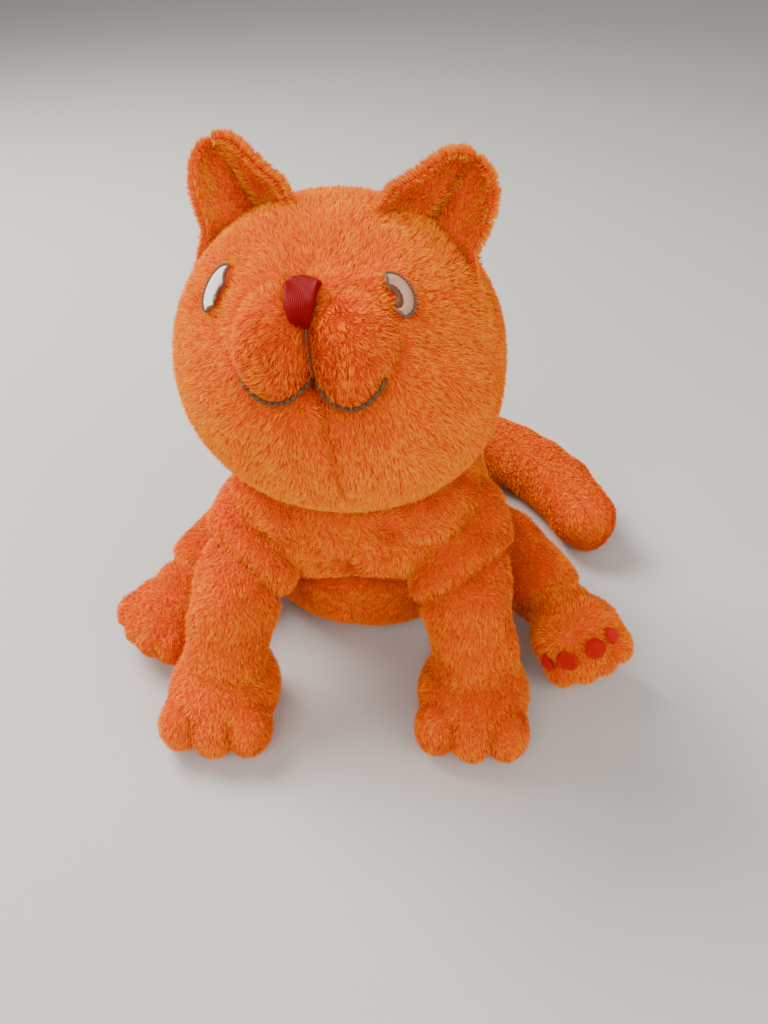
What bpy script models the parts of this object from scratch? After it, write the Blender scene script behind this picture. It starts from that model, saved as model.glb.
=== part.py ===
"""A sewn and stuffed plush cat that sits on its rump with its four paws on the floor.

Metres, +Z up. The cat faces -Y and its own left is +X. The origin is the middle of the flat seat
under the rump. Every cover is an open shell of cloth, sewn shut on its neighbour at the open end,
with a separate body of stuffing inside it. Limbs, head, ears and tail turn at their seams.
"""

import math

import bmesh
import bpy
from mathutils import Euler, Matrix, Vector

# ---- driving dimensions ----
CLOTH = 0.0018           # cover thickness: knitted backing and flattened pile
GAP = 0.0003             # clearance kept between touching pieces
FILL_GAP = 0.0014        # clearance between a lobed cover and its stuffing
SWING_ROOM = 0.0010      # clearance that a moving piece keeps in its socket
ROUND = 22               # sides of a large round form
LIMB_ROUND = 12          # sides of a limb

HEAD_CENTRE = Vector((-0.006, -0.061, 0.166))
HEAD_TILT = math.radians(27)      # how far the face looks up
HEAD_YAW = math.radians(-5)       # how far the face looks to the cat's right
HEAD_RADII = Vector((0.069, 0.060, 0.063))
HEAD_LOBES = (  # middle and radii of each round form, on the head's own axes: skull, jaw, muzzle
    (Vector((0, 0, 0)), HEAD_RADII),
    (Vector((0.004, -0.004, -0.018)), Vector((0.061, 0.056, 0.048))),
    (Vector((0.0230, -0.038, 0.004)), Vector((0.0200, 0.034, 0.0260))),
    (Vector((-0.0100, -0.038, 0.004)), Vector((0.0200, 0.034, 0.0260))),
    (Vector((0.0065, -0.038, 0.010)), Vector((0.0130, 0.032, 0.0180))),
)
NECK_PIVOT = Vector((-0.003, -0.052, 0.112))
NECK_RADIUS = 0.026
NECK_OPENING = 30                 # degrees round the head's own underside

# The face lies on a plane this far before the head's middle, and is then pushed onto its surface.
FACE_PLANE = 0.055
NOSE = ((-0.0062, 0.0198), (-0.0048, 0.0220), (-0.0003, 0.0227), (0.0045, 0.0216), (0.0060, 0.0202),
        (0.0050, 0.0150), (0.0046, 0.0106), (0.0040, 0.0070), (0.0028, 0.0060), (0.0012, 0.0072),
        (-0.0012, 0.0116), (-0.0040, 0.0160))
NOSE_SEAM = ((0.0032, 0.0040), (0.0045, -0.0072))
MOUTH = {  # corner, lowest point and inner end of each arc
    "left": ((0.0258, -0.0052), (0.0165, -0.0162), (0.0056, -0.0096)),
    "right": ((-0.0180, -0.0085), (-0.0068, -0.0164), (0.0034, -0.0100)),
}
MOUTH_RADIUS = 0.0009
SEAM_RADIUS = 0.0005
EYES = {  # middle, outer radii, middle of the pupil's edge, its radii, and the arc's two ends
    "left": {"at": (0.0290, 0.0210), "size": (0.0082, 0.0086), "pupil": (0.0272, 0.0190),
             "pupil_size": (0.0036, 0.0042), "arc": (-72, 148)},
    "right": {"at": (-0.0430, 0.0225), "size": (0.0078, 0.0105), "pupil": (-0.0395, 0.0190),
              "pupil_size": (0.0030, 0.0050), "arc": (254, 66)},
}
EYE_RIM = 0.0011
EMBROIDERY = (0.0012, 0.0024)     # lift of the lower and the upper face of a stitched patch
NOSE_LIFT = (0.0020, 0.0036)
THREAD_LIFT = 0.0026

# Sections of the torso: height, middle of the depth, half width, half depth.
TORSO_SECTIONS = (
    (0.000, 0.000, 0.050, 0.050),
    (0.006, 0.001, 0.059, 0.061),
    (0.020, 0.000, 0.065, 0.069),
    (0.040, -0.004, 0.067, 0.070),
    (0.060, -0.014, 0.065, 0.070),
    (0.080, -0.026, 0.062, 0.066),
    (0.098, -0.037, 0.058, 0.058),
    (0.114, -0.046, 0.050, 0.048),
    (0.126, -0.051, 0.038, 0.036),
)

FRONT_LEG_RADII = (0.0225, 0.0230, 0.0235)
FRONT_LEGS = {
    "left": {"shoulder": Vector((0.047, -0.066, 0.082)), "ankle": Vector((0.061, -0.112, 0.036))},
    "right": {"shoulder": Vector((-0.042, -0.070, 0.081)), "ankle": Vector((-0.057, -0.122, 0.036))},
}
FRONT_PAW_RADII = Vector((0.0275, 0.0300, 0.0210))
FRONT_PAW_DROP = Vector((0.0, -0.005, -0.0185))   # from the ankle to the paw's middle
FRONT_PAW_OPENING = 36
FRONT_LEG_END = 0.12     # a limb's round end, as a share of its radius
FRONT_KNEE = Vector((0, -0.010, 0.004))            # from the middle of the leg
CUFF = (Vector((0, 0.006, 0.014)), Vector((0.0262, 0.0262, 0.0250)))
FRONT_TOES = tuple((Vector((across, ahead, -0.004)), Vector((0.0105, 0.0125, 0.0135)))
                   for across, ahead in ((-0.0165, -0.0200), (0.0, -0.0225), (0.0165, -0.0200)))

HIND_LEG_RADII = (0.0250, 0.0235, 0.0190)
HIND_KNEE = Vector((0.003, 0.004, 0.0))            # from the middle of the leg, outwards
HIND_LEGS = {
    "left": {"hip": Vector((0.044, -0.012, 0.0335)), "ankle": Vector((0.099, -0.062, 0.031)),
             "foot": Vector((0.111, -0.085, 0.0265)), "toes": Vector((0.50, -0.28, -0.66))},
    "right": {"hip": Vector((-0.044, -0.012, 0.0335)), "ankle": Vector((-0.087, -0.062, 0.030)),
              "foot": Vector((-0.096, -0.086, 0.0206)), "toes": Vector((-0.55, -0.80, -0.12))},
}
HIND_FOOT_RADII = Vector((0.0235, 0.0170, 0.0245))  # across the toes, through the sole, to the toes
HIND_FOOT_OPENING = 38
HIND_LEG_END = 0.25
HIND_TOES = tuple((Vector((across, -0.001, 0.0165 - abs(across) * 0.28)), Vector((0.0072, 0.0125, 0.0095)))
                  for across in (-0.0165, -0.0055, 0.0055, 0.0165))
HIND_SOLE = {"left": Vector((0.20, -0.92, -0.05)), "right": Vector((-0.35, -0.20, -1.0))}
TOE_PAD_SIZE = Vector((0.0042, 0.0058, 0.0008))
TOE_PAD_LIFT = 0.0024
TOE_PADS = ((-0.0150, 0.0093), (-0.0052, 0.0127), (0.0052, 0.0127), (0.0150, 0.0093))  # across, to the toes
PAD_PLANE = 0.0150       # the pads lie this far below the foot's middle, then on its surface

TAIL_PATH = (
    Vector((0.006, 0.060, 0.030)), Vector((0.040, 0.082, 0.026)), Vector((0.078, 0.074, 0.0225)),
    Vector((0.108, 0.046, 0.0215)), Vector((0.124, 0.012, 0.0210)),
)
TAIL_RADII = (0.0195, 0.0205, 0.0215, 0.0215, 0.0200)

TAIL_END = 0.9

EAR_HEIGHT = 0.028
EAR_HALF_WIDTH = 0.0245
EAR_TIP_SHIFT = 0.0105   # the tip leans this far towards the middle of the head
EAR_BOW = (58, 34)       # degrees that half an ear bends round, at its base and at its tip
EAR_CLOTH = 0.0016
EAR_LIFT = 0.0030        # the hinge line's height over the head, so that an ear can flop
EARS = {  # place of the base's middle on the head, lean outwards, and turn of the hollow outwards
    "left": {"at": Vector((0.0395, -0.021, 0.0400)), "lean": 30, "turn": 16},
    "right": {"at": Vector((-0.0385, -0.021, 0.0400)), "lean": -29, "turn": -14},
}

BAG_CENTRE = Vector((0.0, 0.012, 0.026))
BAG_RADII = Vector((0.018, 0.030, 0.017))
BAG_MOUTH = ((-0.004, 0.004), (0.004, 0.012), (-0.002, 0.020))
LABEL_CENTRE = Vector((-0.030, 0.0700, 0.0200))
LABEL_SIZE = Vector((0.014, 0.0004, 0.020))

EAR_FLOPS = (-15, 0, 15)               # degrees that each socket or edge is cut clear for
SHOULDER_SWING = (0, 15, 30, 40)
HIP_SWING = (0, 8, 15)
TAIL_SWING = (-5, 10, 25)
HEAD_NODS = (-15, 0, 3)
HEAD_TURNS = (-20, 0, 20)

COLOURS = {  # linear base colour, roughness
    "plush": ((0.80, 0.16, 0.02), 0.95),
    "plush_deep": ((0.66, 0.06, 0.01), 0.95),
    "stuffing": ((0.86, 0.85, 0.82), 1.0),
    "pellet_bag": ((0.70, 0.68, 0.62), 0.9),
    "red_thread": ((0.52, 0.006, 0.010), 0.5),
    "white_thread": ((0.90, 0.88, 0.86), 0.5),
    "grey_thread": ((0.16, 0.10, 0.075), 0.6),
    "label": ((0.88, 0.87, 0.84), 0.7),
}


# ---- scene helpers ----
def clear_scene():
    for obj in list(bpy.data.objects):
        bpy.data.objects.remove(obj, do_unlink=True)


def material(slot):
    made = bpy.data.materials.get(slot)
    if made:
        return made
    colour, roughness = COLOURS[slot]
    made = bpy.data.materials.new(slot)
    made.use_nodes = True
    shader = made.node_tree.nodes["Principled BSDF"]
    shader.inputs["Base Color"].default_value = (*colour, 1.0)
    shader.inputs["Roughness"].default_value = roughness
    shader.inputs["Metallic"].default_value = 0.0
    return made


def pivot(name, location):
    empty = bpy.data.objects.new(name, None)
    empty.location = location
    bpy.context.scene.collection.objects.link(empty)
    return empty


def add_object(name, mesh_data, slot=None, parent=None):
    """Links the mesh, given in world coordinates, as an object whose origin is its parent's."""
    obj = bpy.data.objects.new(name, mesh_data)
    bpy.context.scene.collection.objects.link(obj)
    if parent:
        mesh_data.transform(Matrix.Translation(-parent.location))
        obj.parent = parent
    if slot:
        mesh_data.materials.append(material(slot))
        mesh_data.shade_smooth()
        mesh_data.set_sharp_from_angle(angle=math.radians(50))
    return obj


def cut(obj, cutters):
    for cutter in cutters:
        modifier = obj.modifiers.new("cut_" + cutter.name, "BOOLEAN")
        modifier.operation = "DIFFERENCE"
        modifier.solver = "EXACT"
        modifier.object = cutter


# ---- skins from rings ----
def skin_rings(work, rings):
    """Joins consecutive rings of points with faces; a ring of one point is a pole."""
    rows = [[work.verts.new(point) for point in ring] for ring in rings]
    for row, after in zip(rows, rows[1:]):
        count = max(len(row), len(after))
        for index in range(count):
            corners = [row[index % len(row)], row[(index + 1) % len(row)],
                       after[(index + 1) % len(after)], after[index % len(after)]]
            work.faces.new(dict.fromkeys(corners))
    return rows


def to_mesh(name, work):
    bmesh.ops.recalc_face_normals(work, faces=work.faces)
    made = bpy.data.meshes.new(name)
    work.to_mesh(made)
    work.free()
    return made


def solid(name, rings, slot, parent=None):
    """A closed body: its first and last rings are poles."""
    work = bmesh.new()
    skin_rings(work, rings)
    return add_object(name, to_mesh(name, work), slot, parent)


def cover(name, outer, inner, slot, parent=None):
    """A cloth shell with a mouth at the first ring of both surfaces."""
    work = bmesh.new()
    outside = skin_rings(work, outer)
    inside = skin_rings(work, inner)
    rim, lining = outside[0], inside[0]
    for index in range(len(rim)):
        after = (index + 1) % len(rim)
        work.faces.new((rim[index], rim[after], lining[after], lining[index]))
    return add_object(name, to_mesh(name, work), slot, parent)


def posed(points, centre, turns):
    """The points at each pose of a list of Euler turns about the centre."""
    return [centre + turn.to_matrix() @ (point - centre) for turn in turns for point in points]


def hull_cutter(name, points):
    """A convex cutter round the points."""
    work = bmesh.new()
    for point in points:
        work.verts.new(point)
    bmesh.ops.remove_doubles(work, verts=work.verts, dist=0.00005)
    result = bmesh.ops.convex_hull(work, input=work.verts)
    loose = {item for item in result["geom_interior"] + result["geom_unused"]
             if isinstance(item, bmesh.types.BMVert)}
    bmesh.ops.delete(work, geom=list(loose), context="VERTS")
    cutter = add_object(name, to_mesh(name, work))
    cutter.hide_render = True
    cutter.display_type = "WIRE"
    return cutter


def turns_about(axis, degrees):
    angles = {"X": (1, 0, 0), "Y": (0, 1, 0), "Z": (0, 0, 1)}[axis]
    return [Euler([math.radians(value) * unit for unit in angles]) for value in degrees]


# ---- soft forms ----
DOWN = Vector((0, 0, -1))


def on_floor(point, floor):
    return Vector((point.x, point.y, max(point.z, floor)))


def reach(direction, lobes, power=11.0):
    """How far a soft union of ellipsoids reaches from its centre along a direction."""
    total = 0.0
    for offset, radii in lobes:
        scaled = Vector([direction[k] / radii[k] for k in range(3)])
        shift = Vector([offset[k] / radii[k] for k in range(3)])
        half = scaled.dot(shift)
        space = half * half - scaled.dot(scaled) * (shift.dot(shift) - 1.0)
        if space > 0.0:
            total += max((half + math.sqrt(space)) / scaled.dot(scaled), 0.0) ** power
    return total ** (1.0 / power)


def blob(centre, lobes, frame, aim=DOWN, opening=0.0, inset=0.0, floor=0.0, around=ROUND, along=14):
    """Rings round a soft union of ellipsoids, from the rim of its opening to the far pole.

    frame turns the form's own axes into the world's. The opening is a cone of that many degrees
    round aim, which is a direction on the form's own axes.
    """
    to_aim = DOWN.rotation_difference(aim).to_matrix()
    start = math.radians(opening)
    rings = []
    for step in range(along + 1):
        polar = start + (math.pi - start) * step / along
        count = 1 if math.sin(polar) < 1e-6 else around
        ring = []
        for index in range(count):
            turn = math.tau * index / around
            direction = Vector((math.sin(polar) * math.cos(turn), math.sin(polar) * math.sin(turn),
                                -math.cos(polar)))
            direction = to_aim @ direction
            point = centre + frame @ (direction * (reach(direction, lobes) - inset))
            ring.append(on_floor(point, floor))
        rings.append(ring)
    return rings


def smooth_path(points, radii, steps):
    """Points and radii along a Catmull-Rom curve through the given ones."""
    path = []
    last = len(points) - 1
    for index in range(last):
        before, here, there, after = (points[max(index - 1, 0)], points[index], points[index + 1],
                                      points[min(index + 2, last)])
        for step in range(steps):
            u = step / steps
            point = 0.5 * ((2 * here) + (there - before) * u
                           + (2 * before - 5 * here + 4 * there - after) * u ** 2
                           + (3 * here - before - 3 * there + after) * u ** 3)
            path.append((point, radii[index] + (radii[index + 1] - radii[index]) * u))
    path.append((points[last], radii[last]))
    return path


def tube(points, radii, opening=0.0, inset=0.0, floor=0.0, steps=2, domes=3, end=1.0):
    """Rings along a limb with a round root and a round end, which is end times its radius long."""
    path = smooth_path(points, radii, steps)
    tangents = [(path[min(i + 1, len(path) - 1)][0] - path[max(i - 1, 0)][0]).normalized()
                for i in range(len(path))]
    up = Vector((0, 0, 1)) if abs(tangents[0].z) < 0.7 else Vector((0, 1, 0))
    stations = []
    start = math.radians(opening)
    for step in range(domes):
        angle = start + (math.pi / 2 - start) * step / domes
        radius = path[0][1] - inset
        stations.append((path[0][0] - tangents[0] * radius * math.cos(angle), tangents[0],
                         radius * math.sin(angle)))
    for (point, radius), tangent in zip(path, tangents):
        stations.append((point, tangent, radius - inset))
    for step in range(1, domes + 1):
        angle = math.pi / 2 * step / domes
        radius = path[-1][1] - inset
        stations.append((path[-1][0] + tangents[-1] * radius * end * math.sin(angle), tangents[-1],
                         radius * math.cos(angle)))
    rings = []
    for point, tangent, radius in stations:
        side = tangent.cross(up).normalized()
        over = side.cross(tangent)
        count = 1 if radius < 1e-6 else LIMB_ROUND
        rings.append([on_floor(point + side * radius * math.cos(math.tau * k / LIMB_ROUND)
                               + over * radius * math.sin(math.tau * k / LIMB_ROUND), floor)
                      for k in range(count)])
    return rings


def torso_rings(inset=0.0, open_top=True):
    """Rings from the neck down to the middle of the flat seat."""
    rings = []
    for height, middle, half_width, half_depth in reversed(TORSO_SECTIONS):
        ring = []
        for index in range(ROUND):
            turn = math.tau * index / ROUND
            ring.append(Vector(((half_width - inset) * math.cos(turn),
                                middle + (half_depth - inset) * math.sin(turn),
                                max(height, inset))))
        rings.append(ring)
    height, middle = TORSO_SECTIONS[-1][:2]
    if not open_top:
        rings.insert(0, [Vector((0.0, middle, height))])
    rings.append([Vector((0.0, TORSO_SECTIONS[0][1], inset))])
    return rings


def flat(rings):
    return [point for ring in rings for point in ring]


# ---- head ----
def head_frame():
    return Matrix.Rotation(HEAD_YAW, 3, "Z") @ Matrix.Rotation(-HEAD_TILT, 3, "X")


def on_face(across, up, lift):
    """The point on the head's surface in front of (across, up) on the face, raised by lift."""
    direction = Vector((across, -FACE_PLANE, up)).normalized()
    return HEAD_CENTRE + head_frame() @ (direction * (reach(direction, HEAD_LOBES) + lift))


def face_patch(name, outline, lifts, slot, parent, rings=2):
    """A thin embroidered patch on the face: outline holds (across, up) points on the face."""
    middle = Vector((sum(p[0] for p in outline), sum(p[1] for p in outline))) / len(outline)
    low, high = lifts
    layers = []
    for lift in (high, low):
        layer = [[on_face(middle.x, middle.y, lift)]]
        for step in range(1, rings + 1):
            share = step / rings
            layer.append([on_face(middle.x + (p[0] - middle.x) * share,
                                  middle.y + (p[1] - middle.y) * share, lift) for p in outline])
        layers.append(layer)
    return solid(name, layers[0] + layers[1][::-1], slot, parent)


def face_band(name, outer, inner, slot, parent):
    """A thin embroidered band on the face between two lines of (across, up) points."""
    low, high = EMBROIDERY
    rings = []
    for far, near in zip(outer, inner):
        rings.append([on_face(*far, high), on_face(*near, high), on_face(*near, low), on_face(*far, low)])
    ends = [[sum(ring, Vector()) / len(ring)] for ring in (rings[0], rings[-1])]
    return solid(name, ends[:1] + rings[1:-1] + ends[1:], slot, parent)


def face_thread(name, line, radius, slot, parent, lift=THREAD_LIFT, sides=6):
    """A thread laid along (across, up) points of the face, with pointed ends."""
    points = [on_face(x, z, lift) for x, z in line]
    rings = [[points[0]]]
    for before, here, after in zip(points, points[1:], points[2:]):
        tangent = (after - before).normalized()
        out = (here - HEAD_CENTRE).normalized()
        side = tangent.cross(out).normalized()
        over = side.cross(tangent)
        rings.append([here + side * radius * math.cos(math.tau * k / sides)
                      + over * radius * math.sin(math.tau * k / sides) for k in range(sides)])
    rings.append([points[-1]])
    return solid(name, rings, slot, parent)


def arc(centre, radii, ends, count=11):
    """Points of an ellipse's arc between two angles in degrees."""
    turns = [math.radians(ends[0] + (ends[1] - ends[0]) * k / (count - 1)) for k in range(count)]
    return [(centre[0] + radii[0] * math.cos(turn), centre[1] + radii[1] * math.sin(turn)) for turn in turns]


def through(corner, lowest, end, count=12):
    """Points of a smooth line that starts at the corner and passes the lowest point on its way to the end."""
    line = []
    for k in range(count):
        u = k / (count - 1)
        weights = ((1 - u) * (1 - 2 * u), 4 * u * (1 - u), u * (2 * u - 1))
        line.append(tuple(sum(w * p[axis] for w, p in zip(weights, (corner, lowest, end))) for axis in (0, 1)))
    return line


def build_eyes(parent):
    for side, eye in EYES.items():
        rim = arc(eye["at"], [size + EYE_RIM for size in eye["size"]], eye["arc"])
        edge = arc(eye["at"], eye["size"], eye["arc"])
        hollow = arc(eye["pupil"], eye["pupil_size"], eye["arc"])
        centre = arc(eye["pupil"], [size * 0.45 for size in eye["pupil_size"]], eye["arc"])
        face_band(f"eye_outline_{side}", rim, edge, "grey_thread", parent)
        face_band(f"eye_white_{side}", edge, hollow, "white_thread", parent)
        face_band(f"eye_pupil_{side}", hollow, centre, "grey_thread", parent)


def build_face(parent):
    face_patch("nose_patch", NOSE, NOSE_LIFT, "red_thread", parent)
    top, bottom = (Vector(point) for point in NOSE_SEAM)
    face_thread("nose_seam_thread", [top.lerp(bottom, k / 7) for k in range(8)], SEAM_RADIUS,
                "grey_thread", parent, THREAD_LIFT + SEAM_RADIUS)
    for side, points in MOUTH.items():
        face_thread(f"mouth_thread_{side}", through(*points), MOUTH_RADIUS, "grey_thread", parent)
    build_eyes(parent)


def ear_frame(side):
    """Base middle and axes of an ear: across, out of the hollow, and up the ear."""
    ear = EARS[side]
    tilt = head_frame()
    turn = Matrix.Rotation(math.radians(ear["turn"]), 3, "Z")
    lean = Matrix.Rotation(math.radians(ear["lean"]), 3, "Y")
    axes = tilt @ lean @ turn
    direction = ear["at"].normalized()
    base = HEAD_CENTRE + tilt @ (direction * (reach(direction, HEAD_LOBES) + EAR_LIFT))
    return base, axes


def ear_sheet(side, near, far, across=7, up=6):
    """Rings of a cupped ear panel between two depths behind the hollow's face."""
    base, axes = ear_frame(side)
    shift = -EAR_TIP_SHIFT if side == "left" else EAR_TIP_SHIFT
    rows = []
    for depth in (near, far):
        row = []
        for step in range(up + 1):
            share = step / up
            half = EAR_HALF_WIDTH * (1.0 - 0.42 * share) * (1.0 - 0.97 * share ** 5) ** 0.5
            bow = math.radians(EAR_BOW[0] + (EAR_BOW[1] - EAR_BOW[0]) * share)
            bend = half / math.sin(bow)
            line = []
            for index in range(across + 1):
                turn = bow * (2.0 * index / across - 1.0)
                x = (bend + depth) * math.sin(turn) + shift * share
                y = (bend + depth) * math.cos(turn) - bend * math.cos(bow)
                line.append(base + axes @ Vector((x, y, EAR_HEIGHT * share)))
            row.append(line)
        rows.append(row)
    return rows


def build_ear(side, parent, head_points):
    base, axes = ear_frame(side)
    hinge = axes @ Vector((1, 0, 0))
    nearby = [point for point in head_points if (point - base).length < 0.048]
    flops = [Matrix.Rotation(math.radians(angle), 3, hinge).to_euler() for angle in EAR_FLOPS]
    clear = hull_cutter(f"ear_clearance_{side}", posed(nearby, base, flops))
    layers = {"ear_front": (0.0, EAR_CLOTH), "ear_back": (EAR_CLOTH + 2 * GAP, 2 * EAR_CLOTH + 2 * GAP)}
    for panel, (near, far) in layers.items():
        front, back = ear_sheet(side, near, far)
        rings = [a + b[::-1] for a, b in zip(front, back)]
        work = bmesh.new()
        rows = skin_rings(work, rings)
        for row in (rows[0], rows[-1]):
            half = len(row) // 2
            for k in range(half - 1):
                work.faces.new((row[k], row[k + 1], row[-k - 2], row[-k - 1]))
        slot = "plush_deep" if panel == "ear_front" else "plush"
        cut(add_object(f"{panel}_{side}", to_mesh(panel, work), slot, parent), [clear])


def build_head():
    head_pivot = pivot("head_pivot", NECK_PIVOT)
    frame = head_frame()
    neck = (frame.transposed() @ (NECK_PIVOT - HEAD_CENTRE)).normalized()
    shape = {"frame": frame, "aim": neck, "around": 28, "along": 15, "floor": -1.0}
    outer = blob(HEAD_CENTRE, HEAD_LOBES, opening=NECK_OPENING, **shape)
    inner = blob(HEAD_CENTRE, HEAD_LOBES, opening=NECK_OPENING, inset=CLOTH, **shape)
    cover("head_cover", outer, inner, "plush", head_pivot)
    fill = solid("head_stuffing", blob(HEAD_CENTRE, HEAD_LOBES, inset=CLOTH + FILL_GAP, **shape),
                 "stuffing", head_pivot)
    build_face(head_pivot)
    grown = [point + (point - HEAD_CENTRE).normalized() * SWING_ROOM for point in flat(outer)]
    for side in EARS:
        base, _ = ear_frame(side)
        build_ear(side, pivot(f"ear_pivot_{side}", base), grown)
    return fill, grown


def ball(name, centre, radius, slot, parent, around=LIMB_ROUND, along=8):
    lobes = ((Vector((0, 0, 0)), Vector((radius, radius, radius))),)
    rings = blob(centre, lobes, Matrix.Identity(3), around=around, along=along, floor=-1.0)
    return solid(name, rings, slot, parent)


# ---- limbs ----
def limb(name, points, radii, parent, opening=50.0, end=1.0):
    """A limb's cover and stuffing. Gives its outer points with room to swing."""
    cover(f"{name}_cover", tube(points, radii, opening, end=end),
          tube(points, radii, opening, inset=CLOTH, floor=CLOTH, end=end), "plush", parent)
    core = tube(points, radii, inset=CLOTH + GAP, floor=CLOTH + GAP, end=end)
    solid(f"{name}_stuffing", core, "stuffing", parent)
    return flat(tube(points, radii, inset=-SWING_ROOM, floor=-1.0, end=end))


def build_front_leg(side):
    joint = FRONT_LEGS[side]
    leg_pivot = pivot(f"shoulder_pivot_{side}", joint["shoulder"])
    knee = joint["shoulder"].lerp(joint["ankle"], 0.5) + FRONT_KNEE
    path = (joint["shoulder"], knee, joint["ankle"] + Vector((0, 0, FRONT_KNEE.z)))
    room = limb(f"front_leg_{side}", path, FRONT_LEG_RADII, leg_pivot, end=FRONT_LEG_END)
    centre = joint["ankle"] + FRONT_PAW_DROP
    lobes = ((Vector((0, 0, 0)), FRONT_PAW_RADII), CUFF) + FRONT_TOES
    shape = {"frame": Matrix.Identity(3), "aim": Vector((0, 0.35, 1)).normalized(), "around": 18, "along": 8}
    outer = blob(centre, lobes, opening=FRONT_PAW_OPENING, **shape)
    inner = blob(centre, lobes, opening=FRONT_PAW_OPENING, inset=CLOTH, floor=CLOTH, **shape)
    core = blob(centre, lobes[:2], inset=CLOTH + FILL_GAP, floor=CLOTH + GAP, **shape)
    paw = [cover(f"front_paw_{side}_cover", outer, inner, "plush", leg_pivot),
           solid(f"front_paw_{side}_stuffing", core, "stuffing", leg_pivot)]
    leg = tube(path, FRONT_LEG_RADII, inset=-GAP, floor=-1.0, end=FRONT_LEG_END)
    cuff = hull_cutter(f"cuff_{side}", flat(leg))
    for piece in paw:
        cut(piece, [cuff])
    return hull_cutter(f"shoulder_socket_{side}",
                       posed(room, joint["shoulder"], turns_about("X", [-a for a in SHOULDER_SWING])))


def foot_frame(side):
    """Axes of a hind foot: across the toes, away from the sole, and to the toes."""
    toes = HIND_LEGS[side]["toes"].normalized()
    back = -HIND_SOLE[side]
    back = (back - toes * back.dot(toes)).normalized()
    return Matrix((back.cross(toes), back, toes)).transposed()


def build_hind_leg(side):
    joint = HIND_LEGS[side]
    sign = 1 if side == "left" else -1
    leg_pivot = pivot(f"hip_pivot_{side}", joint["hip"])
    knee = joint["hip"].lerp(joint["ankle"], 0.5) + Vector((HIND_KNEE.x * sign, HIND_KNEE.y, HIND_KNEE.z))
    path = (joint["hip"], knee, joint["ankle"])
    room = limb(f"hind_leg_{side}", path, HIND_LEG_RADII, leg_pivot, end=HIND_LEG_END)
    lobes = ((Vector((0, 0, 0)), HIND_FOOT_RADII),) + HIND_TOES
    shape = {"frame": foot_frame(side), "around": 16, "along": 8}
    outer = blob(joint["foot"], lobes, opening=HIND_FOOT_OPENING, **shape)
    inner = blob(joint["foot"], lobes, opening=HIND_FOOT_OPENING, inset=CLOTH, floor=CLOTH, **shape)
    core = blob(joint["foot"], lobes[:1], inset=CLOTH + FILL_GAP, floor=CLOTH + GAP, **shape)
    foot = [cover(f"hind_foot_{side}_cover", outer, inner, "plush", leg_pivot),
            solid(f"hind_foot_{side}_stuffing", core, "stuffing", leg_pivot)]
    leg = tube(path, HIND_LEG_RADII, inset=-GAP, floor=-1.0, end=HIND_LEG_END)
    ankle = hull_cutter(f"ankle_{side}", flat(leg))
    for piece in foot:
        cut(piece, [ankle])
    for index, place in enumerate(TOE_PADS, 1):
        build_toe_pad(f"toe_pad_{side}_{index}", joint["foot"], foot_frame(side), lobes, place, leg_pivot)
    swings = turns_about("Z", [angle * sign for angle in HIP_SWING])
    return hull_cutter(f"hip_socket_{side}", posed(room, joint["hip"], swings))


def build_toe_pad(name, centre, frame, lobes, place, parent, around=10):
    """A thin oval of embroidery on the sole, under one toe."""
    layers = []
    for lift in (TOE_PAD_LIFT + TOE_PAD_SIZE.z, TOE_PAD_LIFT):
        middle = Vector((place[0], -PAD_PLANE, place[1])).normalized()
        ring = []
        for k in range(around):
            turn = math.tau * k / around
            aim = Vector((place[0] + TOE_PAD_SIZE.x * math.cos(turn), -PAD_PLANE,
                          place[1] + TOE_PAD_SIZE.y * math.sin(turn))).normalized()
            ring.append(centre + frame @ (aim * (reach(aim, lobes) + lift)))
        layers.append([[centre + frame @ (middle * (reach(middle, lobes) + lift))], ring])
    return solid(name, layers[0] + layers[1][::-1], "red_thread", parent)


def build_tail():
    tail_pivot = pivot("tail_pivot", TAIL_PATH[0])
    room = limb("tail", TAIL_PATH, TAIL_RADII, tail_pivot, end=TAIL_END)
    near = [point for point in room if (point - TAIL_PATH[0]).length < 0.055]
    return hull_cutter("tail_socket", posed(near, TAIL_PATH[0], turns_about("Z", TAIL_SWING)))


# ---- torso ----
def build_torso(sockets):
    body = cover("torso_cover", torso_rings(), torso_rings(CLOTH), "plush")
    fill = solid("torso_stuffing", torso_rings(CLOTH + GAP, open_top=False), "stuffing")
    bag = ((Vector((0, 0, 0)), BAG_RADII),)
    shape = {"frame": Matrix.Identity(3), "around": 16, "along": 8}
    solid("pellet_bag", blob(BAG_CENTRE, bag, **shape), "pellet_bag")
    room = ((Vector((0, 0, 0)), BAG_RADII + Vector((GAP, GAP, GAP))),)
    hollow = hull_cutter("bag_hollow", flat(blob(BAG_CENTRE, room, **shape)))
    way_in = hull_cutter("bag_mouth", [Vector((x, y, z)) for x in BAG_MOUTH[0]
                                       for y in BAG_MOUTH[1] for z in BAG_MOUTH[2]])
    cut(body, sockets)
    cut(fill, sockets + [hollow, way_in])


def build_label():
    """A blank label sewn in the back seam, beside the tail."""
    work = bmesh.new()
    bmesh.ops.create_cube(work, size=1.0)
    for vert in work.verts:
        vert.co = LABEL_CENTRE + vert.co * LABEL_SIZE
    add_object("care_label", to_mesh("care_label", work), "label")


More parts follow.
